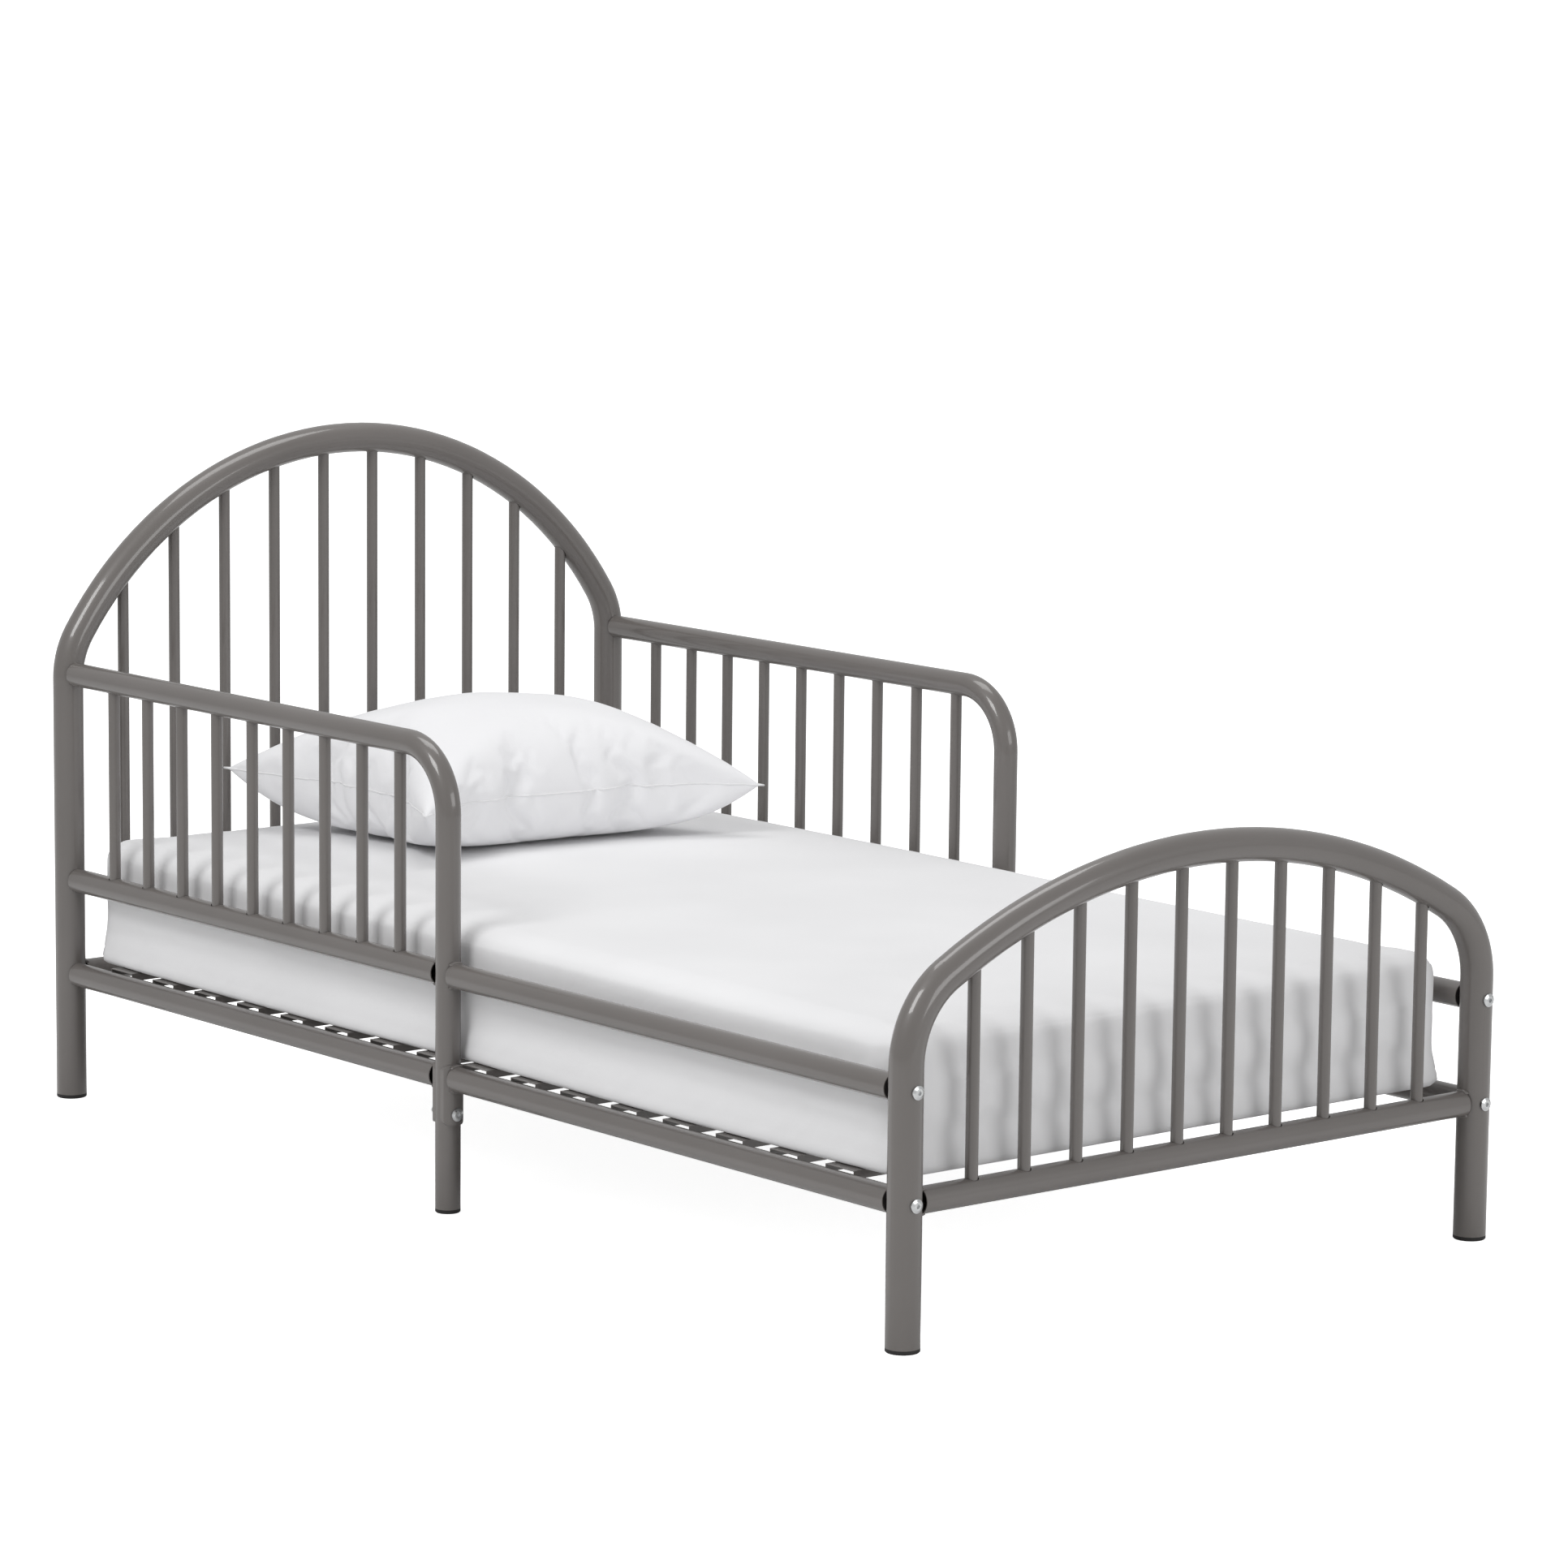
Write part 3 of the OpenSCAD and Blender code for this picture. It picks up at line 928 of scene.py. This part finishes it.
    def corner_seams(self, obj: bpy.types.Object) -> list[bpy.types.Object]:
        """Builds the sewn darts of the fitted sheet, one down each corner.

        Args:
            obj: The finished mattress.

        Returns:
            The four seams.
        """
        tree = BVHTree.FromObject(obj, bpy.context.evaluated_depsgraph_get())
        low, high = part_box("mattress")
        middle = (low + high) / 2
        reach = 0.12
        seams = []
        for number, (sx, sy) in enumerate(((-1, -1), (1, -1), (1, 1), (-1, 1)), start=1):
            corner = Vector((middle.x + sx * (high.x - middle.x), middle.y + sy * (high.y - middle.y), 0))
            points = []
            for step in range(self.seam_points):
                share = step / (self.seam_points - 1)
                z = high.z - self.seam_top - share * (high.z - low.z - self.seam_short)
                wander = self.seam_wander * noise.noise(Vector((share * 4, number, 0)))
                away = Vector((sx, sy, 0)).normalized()
                start = Vector((corner.x + wander, corner.y, z)) + away * reach
                hit, _, _, _ = tree.ray_cast(start, -away)
                if hit is not None:
                    points.append(hit)
            seam = tube_along(f"sheet_corner_seam_{number}", points, self.seam_r, closed=False)
            seams.append(seam)
        return seams

    def build(self) -> bpy.types.Object:
        """Builds the mattress in its sheet.

        Returns:
            The mattress.
        """
        obj = self.block()
        self.skin.blow_up(obj)
        finer = obj.modifiers.new("finer", "SUBSURF")
        finer.levels = finer.render_levels = 1
        bake_modifiers(obj)
        self.settle(obj)
        obj.data.materials.clear()
        obj.data.materials.append(SHEET_COTTON.material(self.kit))
        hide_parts("mattress")
        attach(obj, Body.MATTRESS.value)
        hem = HEM_COTTON.material(self.kit)
        for seam in self.corner_seams(obj):
            seam.data.materials.append(hem)
            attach(seam, Body.MATTRESS.value)
        log.info("built %s with %d faces", obj.name, len(obj.data.polygons))
        return obj


@dataclass
class Pillow:
    """Knife-edged pillow: two sheets sewn round their edge and filled."""

    kit: ShaderKit
    middle: tuple = (0.031, 0.456)
    across: tuple = (0.2125, -0.017)
    along: tuple = (-0.0065, 0.177)
    seam_tilt: float = 0.005
    cut: tuple = (0.455, 0.385)
    crown: float = 0.086
    seam_height: float = 0.060
    cell: float = 0.0055
    puff: float = 0.012
    swell: float = 0.003
    swell_rate: float = 1.6
    smoothing: int = 24
    smooth_share: float = 0.6
    smooth_reach: float = 2.2
    rest_gap: float = 0.0004
    underside: float = 1.25
    tilt_power: int = 4
    quick_swell: float = 4.0
    skin: Inflation = Inflation(
        pressure=5.0, frames=26, cap=0.2, mass=0.25, tension=20.0, compression=8.0, bending=0.6
    )
    piping_r: float = 0.0011

    def envelope(self) -> bpy.types.Object:
        """Builds the flat case, slightly open in its middle.

        Returns:
            The closed skin, with its sewn edge in the plane z = 0.
        """
        width, depth = self.cut
        columns = round(width / self.cell)
        rows = round(depth / self.cell)
        bm = bmesh.new()
        for up in (1, -1):
            made = bmesh.ops.create_grid(bm, x_segments=columns, y_segments=rows, size=0.5)["verts"]
            bmesh.ops.scale(bm, vec=(width, depth, 1.0), verts=made)
            for vert in made:
                u = 2 * vert.co.x / width
                v = 2 * vert.co.y / depth
                vert.co.z = up * self.puff * max(0.0, (1 - u * u) * (1 - v * v)) ** 0.5
        bmesh.ops.remove_doubles(bm, verts=bm.verts, dist=self.cell * 0.02)
        bmesh.ops.recalc_face_normals(bm, faces=bm.faces)
        return piece_from("pillow_in_case", bm)

    def seam_ring(self, obj: bpy.types.Object) -> list[int]:
        """Lists the vertices of the sewn edge in order.

        Args:
            obj: The flat case.

        Returns:
            Vertex indices round the edge.
        """
        width, depth = self.cut
        margin = self.cell * 0.2
        edge = []
        for vertex in obj.data.vertices:
            x, y = vertex.co.x, vertex.co.y
            on_side = abs(abs(x) - width / 2) < margin or abs(abs(y) - depth / 2) < margin
            if on_side:
                edge.append((self.edge_place(x, y), vertex.index))
        return [index for _, index in sorted(edge)]

    def edge_place(self, x: float, y: float) -> float:
        """Tells how far round the edge a point lies.

        Args:
            x: Place across.
            y: Place along.

        Returns:
            A growing number from 0 to 8 round the rectangle.
        """
        u = 2 * x / self.cut[0]
        v = 2 * y / self.cut[1]
        if v <= -0.9999:
            return 1 + u
        if u >= 0.9999:
            return 3 + v
        if v >= 0.9999:
            return 5 - u
        return 7 - v

    def iron(self, obj: bpy.types.Object) -> None:
        """Smooths the middle of the filled case and leaves the gathers near its seam.

        Args:
            obj: The filled case.
        """
        verts = obj.data.vertices
        width, depth = self.cut
        beside = [[] for _ in verts]
        for edge in obj.data.edges:
            first, second = edge.vertices
            beside[first].append(second)
            beside[second].append(first)
        free = []
        for v in verts:
            u, w = 2 * v.co.x / width, 2 * v.co.y / depth
            inner = max(0.0, (1 - u * u) * (1 - w * w))
            free.append(self.smooth_share * min(1.0, self.smooth_reach * inner))
        heights = [v.co.z for v in verts]
        for _ in range(self.smoothing):
            heights = [
                z + share * (sum(heights[n] for n in near) / len(near) - z)
                for z, share, near in zip(heights, free, beside)
            ]
        for vertex, z in zip(verts, heights):
            vertex.co.z = z

    def shape(self, obj: bpy.types.Object) -> None:
        """Scales the filled case to its size, flattens its underside and puts it in place.

        Args:
            obj: The filled case.
        """
        self.iron(obj)
        verts = obj.data.vertices
        half_x = max(abs(v.co.x) for v in verts)
        half_y = max(abs(v.co.y) for v in verts)
        top = max(v.co.z for v in verts)
        seam_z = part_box("mattress")[1].z + self.rest_gap + self.seam_height
        depth = self.seam_height
        full = math.tanh(self.underside * self.crown / depth)
        for vertex in verts:
            u = vertex.co.x / half_x
            v = vertex.co.y / half_y
            z = vertex.co.z * self.crown / top
            if z < 0:
                z = max(-depth, -depth * math.tanh(-z * self.underside / depth) / full)
            else:
                swell = max(0.0, (1 - u * u) * (1 - v * v))
                rate = self.swell_rate
                z += self.swell * noise.noise(Vector((u * rate, v * rate, 3.0))) * swell
            edge = max(abs(u), abs(v)) ** self.tilt_power
            vertex.co = Vector(
                (
                    self.middle[0] + u * self.across[0] + v * self.along[0],
                    self.middle[1] + u * self.across[1] + v * self.along[1],
                    seam_z + z + self.seam_tilt * v * edge,
                )
            )

    def build(self) -> bpy.types.Object:
        """Builds the pillow and its piped seam.

        Returns:
            The pillow.
        """
        obj = self.envelope()
        ring = self.seam_ring(obj)
        self.skin.blow_up(obj)
        self.shape(obj)
        line = [obj.data.vertices[index].co.copy() for index in ring]
        finer = obj.modifiers.new("finer", "SUBSURF")
        finer.levels = finer.render_levels = 1
        bake_modifiers(obj)
        obj.data.materials.append(CASE_COTTON.material(self.kit))
        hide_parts("pillow")
        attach(obj, Body.PILLOW.value)
        piping = tube_along("pillow_seam", line, self.piping_r, closed=True)
        piping.data.materials.append(HEM_COTTON.material(self.kit))
        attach(piping, Body.PILLOW.value)
        log.info("built %s with %d faces", obj.name, len(obj.data.polygons))
        return obj


# ---------------------------------------------------------------- studio


@dataclass
class Studio:
    """Pale floor, soft lights and the camera."""

    floor_size: float = 400.0
    floor_tone: float = 0.85
    floor_glow: float = 0.88
    room_light: float = 0.56
    room_seen: float = 1.05
    camera_at: tuple = (-3.53672, -4.35258, 1.25246)
    yaw: float = -39.568
    pitch: float = 8.718
    roll: float = 0.606
    lens: float = 128.87
    sensor: float = 36.0

    def floor(self) -> None:
        """Lays a wide pale floor."""
        bm = bmesh.new()
        bmesh.ops.create_grid(bm, x_segments=1, y_segments=1, size=self.floor_size / 2)
        obj = piece_from("floor", bm, smooth=False)
        material, tree, shader = blank_material("pale_floor")
        shader.inputs["Base Color"].default_value = (self.floor_tone,) * 3 + (1.0,)
        shader.inputs["Roughness"].default_value = 0.9
        shader.inputs["Specular IOR Level"].default_value = 0.0
        shader.inputs["Emission Color"].default_value = (1.0, 1.0, 1.0, 1.0)
        seen = tree.nodes.new("ShaderNodeLightPath").outputs["Is Camera Ray"]
        glow = ShaderKit.math_node(tree, "MULTIPLY", seen, self.floor_glow)
        tree.links.new(glow, shader.inputs["Emission Strength"])
        obj.data.materials.append(material)

    def room(self) -> None:
        """Lights the room evenly, with a pure white background behind the bed."""
        world = bpy.data.worlds.new("room")
        world.use_nodes = True
        tree = world.node_tree
        tree.nodes.clear()
        out = tree.nodes.new("ShaderNodeOutputWorld")
        path = tree.nodes.new("ShaderNodeLightPath")
        mix = tree.nodes.new("ShaderNodeMixShader")
        for index, strength in ((1, self.room_light), (2, self.room_seen)):
            sky = tree.nodes.new("ShaderNodeBackground")
            sky.inputs["Color"].default_value = (1.0, 1.0, 1.0, 1.0)
            sky.inputs["Strength"].default_value = strength
            tree.links.new(sky.outputs[0], mix.inputs[index])
        tree.links.new(path.outputs["Is Camera Ray"], mix.inputs[0])
        tree.links.new(mix.outputs[0], out.inputs["Surface"])
        bpy.context.scene.world = world

    def lamp(self, name: str, at: tuple, aim: tuple, size: tuple, watts: float) -> None:
        """Hangs a soft box.

        Args:
            name: Name of the light.
            at: Where it hangs.
            aim: What it points at.
            size: Its width and height.
            watts: Its power.
        """
        light = bpy.data.lights.new(name, "AREA")
        light.shape = "RECTANGLE"
        light.size, light.size_y = size
        light.energy = watts
        obj = bpy.data.objects.new(name, light)
        obj.location = at
        way = Vector(aim) - Vector(at)
        obj.rotation_euler = way.to_track_quat("-Z", "Y").to_euler()
        bpy.context.scene.collection.objects.link(obj)

    def camera(self) -> None:
        """Sets up the camera."""
        data = bpy.data.cameras.new("camera")
        data.sensor_width = self.sensor
        data.lens = self.lens
        data.clip_end = self.floor_size / 2
        yaw, pitch, roll = (math.radians(a) for a in (self.yaw, self.pitch, self.roll))
        back = Vector(
            (math.sin(yaw) * math.cos(pitch), -math.cos(yaw) * math.cos(pitch), math.sin(pitch))
        )
        right = Vector((0, 0, 1)).cross(back).normalized()
        up = back.cross(right)
        tilt_right = right * math.cos(roll) + up * math.sin(roll)
        tilt_up = up * math.cos(roll) - right * math.sin(roll)
        turn = Matrix((tilt_right, tilt_up, back)).transposed().to_4x4()
        obj = bpy.data.objects.new("camera", data)
        obj.matrix_world = Matrix.Translation(self.camera_at) @ turn
        bpy.context.scene.collection.objects.link(obj)
        bpy.context.scene.camera = obj

    def build(self) -> None:
        """Builds the floor, the room, the lights and the camera."""
        self.floor()
        self.room()
        self.lamp("key", (-3.0, -0.4, 3.2), (0, 0, 0.2), (1.5, 1.5), 54.0)
        self.lamp("top", (0.3, 0.6, 3.4), (0, 0, 0.2), (2.2, 1.2), 26.0)
        self.lamp("fill", (0.9, -4.2, 1.5), (0, -0.7, 0.2), (2.4, 1.4), 30.0)
        self.camera()
        bpy.context.scene.view_settings.view_transform = "Standard"


def main() -> None:
    """Builds the looks of the bed in order."""
    kit = ShaderKit()
    SteelFrame(kit).dress()
    WeldBeads(kit).build()
    Mattress(kit).build()
    Pillow(kit).build()
    Studio().build()


if __name__ == "__main__":
    main()
